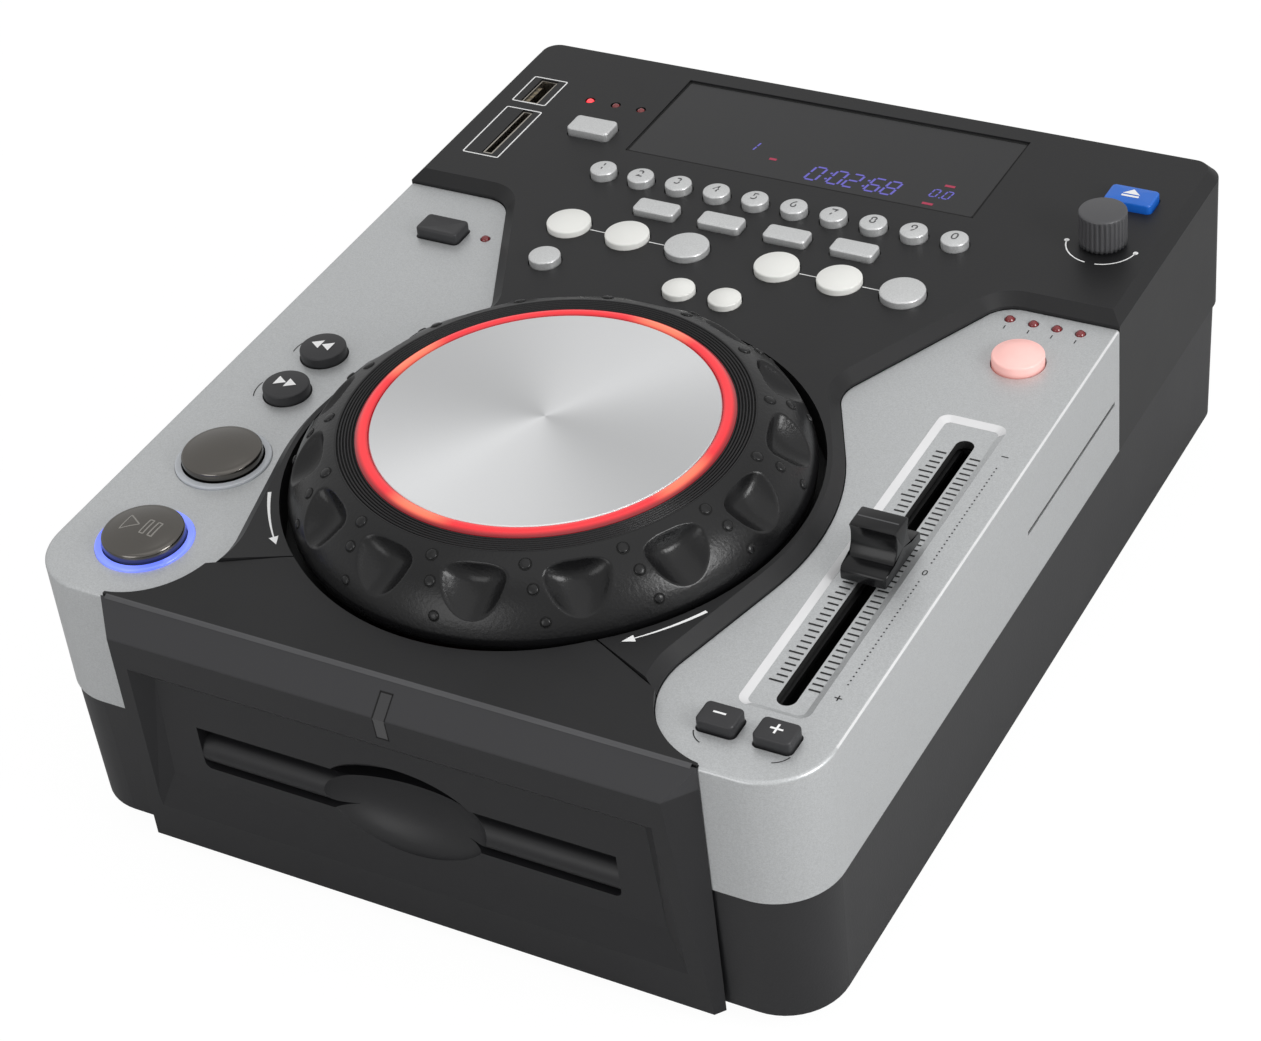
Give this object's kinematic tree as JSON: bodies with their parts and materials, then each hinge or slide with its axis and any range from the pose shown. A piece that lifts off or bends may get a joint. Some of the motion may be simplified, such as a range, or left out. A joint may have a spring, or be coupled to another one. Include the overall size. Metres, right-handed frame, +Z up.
{
  "type": "tabletop dj disc player",
  "caption": "Flat tabletop disc player with a large touch jog wheel, slot-in disc drive, pitch fader, cue and play buttons, display window and rows of small push keys.",
  "frame": {"origin": "on the table, under the middle of the case's overall length and width", "axes": "+X right as seen from the front, +Y from the front with the disc slot to the back with the sockets, +Z up"},
  "size_m": [0.2288, 0.294, 0.1072],
  "materials": {
    "base_black": "fine satin texture",
    "deck_black": "fine satin texture",
    "wing_silver": "satin silver paint",
    "fascia_grey": "satin metallic grey",
    "smoked_window": "polished smoked plastic",
    "port_metal": "plated sheet",
    "clear_ring": "clear moulded light ring",
    "lamp_red": "clear moulded lamp",
    "jog_black": "grained satin",
    "jog_light": "translucent red, lit",
    "spun_aluminium": "turned and brushed",
    "bearing_brass": "machined",
    "plated_steel": "plated sheet",
    "control_grey": "satin",
    "circuit_board": "lacquered board",
    "roller_rubber": "ground rubber",
    "hub_plastic": "moulded",
    "socket_black": "moulded",
    "foot_rubber": "matt",
    "screw_steel": "black-plated",
    "key_silver": "silver-painted",
    "key_white": "soft matt",
    "key_dark": "soft matt",
    "key_blue": "lit blue",
    "dark_chrome": "polished gunmetal"
  },
  "bodies": {
    "case": {"base_pan": "base_black", "top_shell": "deck_black", "front_nose": "deck_black", "left_wing": "wing_silver", "right_wing": "wing_silver", "disc_fascia": "fascia_grey", "display_window": "smoked_window", "media_ports": "port_metal", "button_light_rings": "clear_ring", "status_lamps": "lamp_red", "jog_bearing": "bearing_brass", "pitch_fader_body": "plated_steel", "control_boards": "circuit_board", "main_board": "circuit_board", "transport_chassis": "plated_steel", "rear_sockets": "socket_black", "rubber_feet": "foot_rubber", "case_screws": "screw_steel"},
    "jog_wheel": {"jog_rim": "jog_black", "jog_light_ring": "jog_light", "jog_disc": "spun_aluminium"},
    "pitch_fader": {"pitch_fader_knob": "control_grey"},
    "encoder": {"encoder_knob": "control_grey"},
    "power_rocker": {"power_switch": "socket_black"},
    "disc_roller": {"feed_roller": "roller_rubber"},
    "disc_spindle": {"spindle_hub": "hub_plastic"},
    "pickup": {"laser_sled": "hub_plastic"},
    "number_key_1": {"number_key_1": "key_silver"},
    "number_key_2": {"number_key_2": "key_silver"},
    "number_key_3": {"number_key_3": "key_silver"},
    "number_key_4": {"number_key_4": "key_silver"},
    "number_key_5": {"number_key_5": "key_silver"},
    "number_key_6": {"number_key_6": "key_silver"},
    "number_key_7": {"number_key_7": "key_silver"},
    "number_key_8": {"number_key_8": "key_silver"},
    "number_key_9": {"number_key_9": "key_silver"},
    "number_key_0": {"number_key_0": "key_silver"},
    "time_key": {"time_key": "key_silver"},
    "track_mode_key": {"track_mode_key": "key_silver"},
    "repeat_key": {"repeat_key": "key_silver"},
    "program_key": {"program_key": "key_silver"},
    "loop_a_in_key": {"loop_a_in_key": "key_white"},
    "loop_a_out_key": {"loop_a_out_key": "key_white"},
    "loop_a_return_key": {"loop_a_return_key": "key_silver"},
    "loop_b_in_key": {"loop_b_in_key": "key_white"},
    "loop_b_out_key": {"loop_b_out_key": "key_white"},
    "loop_b_return_key": {"loop_b_return_key": "key_silver"},
    "tap_key": {"tap_key": "key_silver"},
    "reverse_key": {"reverse_key": "key_white"},
    "brake_key": {"brake_key": "key_white"},
    "source_key": {"source_key": "key_silver"},
    "eject_key": {"eject_key": "key_blue"},
    "cue_button": {"cue_button": "dark_chrome"},
    "play_button": {"play_button": "dark_chrome"},
    "search_back_key": {"search_back_key": "key_dark"},
    "search_forward_key": {"search_forward_key": "key_dark"},
    "jog_mode_key": {"jog_mode_key": "key_dark"},
    "pitch_key": {"pitch_key": "key_white"},
    "pitch_minus_key": {"pitch_minus_key": "key_dark"},
    "pitch_plus_key": {"pitch_plus_key": "key_dark"}
  },
  "joints": [
    {"name": "jog_spin", "type": "hinge", "parent": "case", "child": "jog_wheel", "pos_m": [0, -0.05315, 0.09], "axis": [0, 0, 1], "continuous": true},
    {"name": "encoder_spin", "type": "hinge", "parent": "case", "child": "encoder", "pos_m": [0.0969, 0.09385, 0.09], "axis": [0, 0, 1], "continuous": true},
    {"name": "pitch_slide", "type": "slide", "parent": "case", "child": "pitch_fader", "axis": [0, 1, 0], "range_m": [-0.05, 0.05]},
    {"name": "power_rock", "type": "hinge", "parent": "case", "child": "power_rocker", "pos_m": [0.078, 0.1404, 0.028], "axis": [1, 0, 0], "range_deg": [-12, 0]},
    {"name": "roller_spin", "type": "hinge", "parent": "case", "child": "disc_roller", "pos_m": [0, -0.11865, 0.0432], "axis": [1, 0, 0], "continuous": true},
    {"name": "spindle_spin", "type": "hinge", "parent": "case", "child": "disc_spindle", "pos_m": [0, -0.06365, 0.04], "axis": [0, 0, 1], "continuous": true},
    {"name": "pickup_slide", "type": "slide", "parent": "case", "child": "pickup", "axis": [0, 1, 0], "range_m": [0, 0.032]},
    {"name": "number_key_1_press", "type": "slide", "parent": "case", "child": "number_key_1", "axis": [0, 0, 1], "range_m": [-0.0012, 0], "stiffness_N_per_m": 400},
    {"name": "number_key_2_press", "type": "slide", "parent": "case", "child": "number_key_2", "axis": [0, 0, 1], "range_m": [-0.0012, 0], "stiffness_N_per_m": 400},
    {"name": "number_key_3_press", "type": "slide", "parent": "case", "child": "number_key_3", "axis": [0, 0, 1], "range_m": [-0.0012, 0], "stiffness_N_per_m": 400},
    {"name": "number_key_4_press", "type": "slide", "parent": "case", "child": "number_key_4", "axis": [0, 0, 1], "range_m": [-0.0012, 0], "stiffness_N_per_m": 400},
    {"name": "number_key_5_press", "type": "slide", "parent": "case", "child": "number_key_5", "axis": [0, 0, 1], "range_m": [-0.0012, 0], "stiffness_N_per_m": 400},
    {"name": "number_key_6_press", "type": "slide", "parent": "case", "child": "number_key_6", "axis": [0, 0, 1], "range_m": [-0.0012, 0], "stiffness_N_per_m": 400},
    {"name": "number_key_7_press", "type": "slide", "parent": "case", "child": "number_key_7", "axis": [0, 0, 1], "range_m": [-0.0012, 0], "stiffness_N_per_m": 400},
    {"name": "number_key_8_press", "type": "slide", "parent": "case", "child": "number_key_8", "axis": [0, 0, 1], "range_m": [-0.0012, 0], "stiffness_N_per_m": 400},
    {"name": "number_key_9_press", "type": "slide", "parent": "case", "child": "number_key_9", "axis": [0, 0, 1], "range_m": [-0.0012, 0], "stiffness_N_per_m": 400},
    {"name": "number_key_0_press", "type": "slide", "parent": "case", "child": "number_key_0", "axis": [0, 0, 1], "range_m": [-0.0012, 0], "stiffness_N_per_m": 400},
    {"name": "time_key_press", "type": "slide", "parent": "case", "child": "time_key", "axis": [0, 0, 1], "range_m": [-0.0012, 0], "stiffness_N_per_m": 400},
    {"name": "track_mode_key_press", "type": "slide", "parent": "case", "child": "track_mode_key", "axis": [0, 0, 1], "range_m": [-0.0012, 0], "stiffness_N_per_m": 400},
    {"name": "repeat_key_press", "type": "slide", "parent": "case", "child": "repeat_key", "axis": [0, 0, 1], "range_m": [-0.0012, 0], "stiffness_N_per_m": 400},
    {"name": "program_key_press", "type": "slide", "parent": "case", "child": "program_key", "axis": [0, 0, 1], "range_m": [-0.0012, 0], "stiffness_N_per_m": 400},
    {"name": "loop_a_in_key_press", "type": "slide", "parent": "case", "child": "loop_a_in_key", "axis": [0, 0, 1], "range_m": [-0.0012, 0], "stiffness_N_per_m": 400},
    {"name": "loop_a_out_key_press", "type": "slide", "parent": "case", "child": "loop_a_out_key", "axis": [0, 0, 1], "range_m": [-0.0012, 0], "stiffness_N_per_m": 400},
    {"name": "loop_a_return_key_press", "type": "slide", "parent": "case", "child": "loop_a_return_key", "axis": [0, 0, 1], "range_m": [-0.0012, 0], "stiffness_N_per_m": 400},
    {"name": "loop_b_in_key_press", "type": "slide", "parent": "case", "child": "loop_b_in_key", "axis": [0, 0, 1], "range_m": [-0.0012, 0], "stiffness_N_per_m": 400},
    {"name": "loop_b_out_key_press", "type": "slide", "parent": "case", "child": "loop_b_out_key", "axis": [0, 0, 1], "range_m": [-0.0012, 0], "stiffness_N_per_m": 400},
    {"name": "loop_b_return_key_press", "type": "slide", "parent": "case", "child": "loop_b_return_key", "axis": [0, 0, 1], "range_m": [-0.0012, 0], "stiffness_N_per_m": 400},
    {"name": "tap_key_press", "type": "slide", "parent": "case", "child": "tap_key", "axis": [0, 0, 1], "range_m": [-0.0012, 0], "stiffness_N_per_m": 400},
    {"name": "reverse_key_press", "type": "slide", "parent": "case", "child": "reverse_key", "axis": [0, 0, 1], "range_m": [-0.0012, 0], "stiffness_N_per_m": 400},
    {"name": "brake_key_press", "type": "slide", "parent": "case", "child": "brake_key", "axis": [0, 0, 1], "range_m": [-0.0012, 0], "stiffness_N_per_m": 400},
    {"name": "source_key_press", "type": "slide", "parent": "case", "child": "source_key", "axis": [0, 0, 1], "range_m": [-0.0012, 0], "stiffness_N_per_m": 400},
    {"name": "eject_key_press", "type": "slide", "parent": "case", "child": "eject_key", "axis": [0, 0, 1], "range_m": [-0.0012, 0], "stiffness_N_per_m": 400},
    {"name": "cue_button_press", "type": "slide", "parent": "case", "child": "cue_button", "axis": [0, 0, 1], "range_m": [-0.0012, 0], "stiffness_N_per_m": 600},
    {"name": "play_button_press", "type": "slide", "parent": "case", "child": "play_button", "axis": [0, 0, 1], "range_m": [-0.0012, 0], "stiffness_N_per_m": 600},
    {"name": "search_back_key_press", "type": "slide", "parent": "case", "child": "search_back_key", "axis": [0, 0, 1], "range_m": [-0.0012, 0], "stiffness_N_per_m": 400},
    {"name": "search_forward_key_press", "type": "slide", "parent": "case", "child": "search_forward_key", "axis": [0, 0, 1], "range_m": [-0.0012, 0], "stiffness_N_per_m": 400},
    {"name": "jog_mode_key_press", "type": "slide", "parent": "case", "child": "jog_mode_key", "axis": [0, 0, 1], "range_m": [-0.0012, 0], "stiffness_N_per_m": 400},
    {"name": "pitch_key_press", "type": "slide", "parent": "case", "child": "pitch_key", "axis": [0, 0, 1], "range_m": [-0.0012, 0], "stiffness_N_per_m": 400},
    {"name": "pitch_minus_key_press", "type": "slide", "parent": "case", "child": "pitch_minus_key", "axis": [0, 0, 1], "range_m": [-0.0012, 0], "stiffness_N_per_m": 400},
    {"name": "pitch_plus_key_press", "type": "slide", "parent": "case", "child": "pitch_plus_key", "axis": [0, 0, 1], "range_m": [-0.0012, 0], "stiffness_N_per_m": 400}
  ]
}
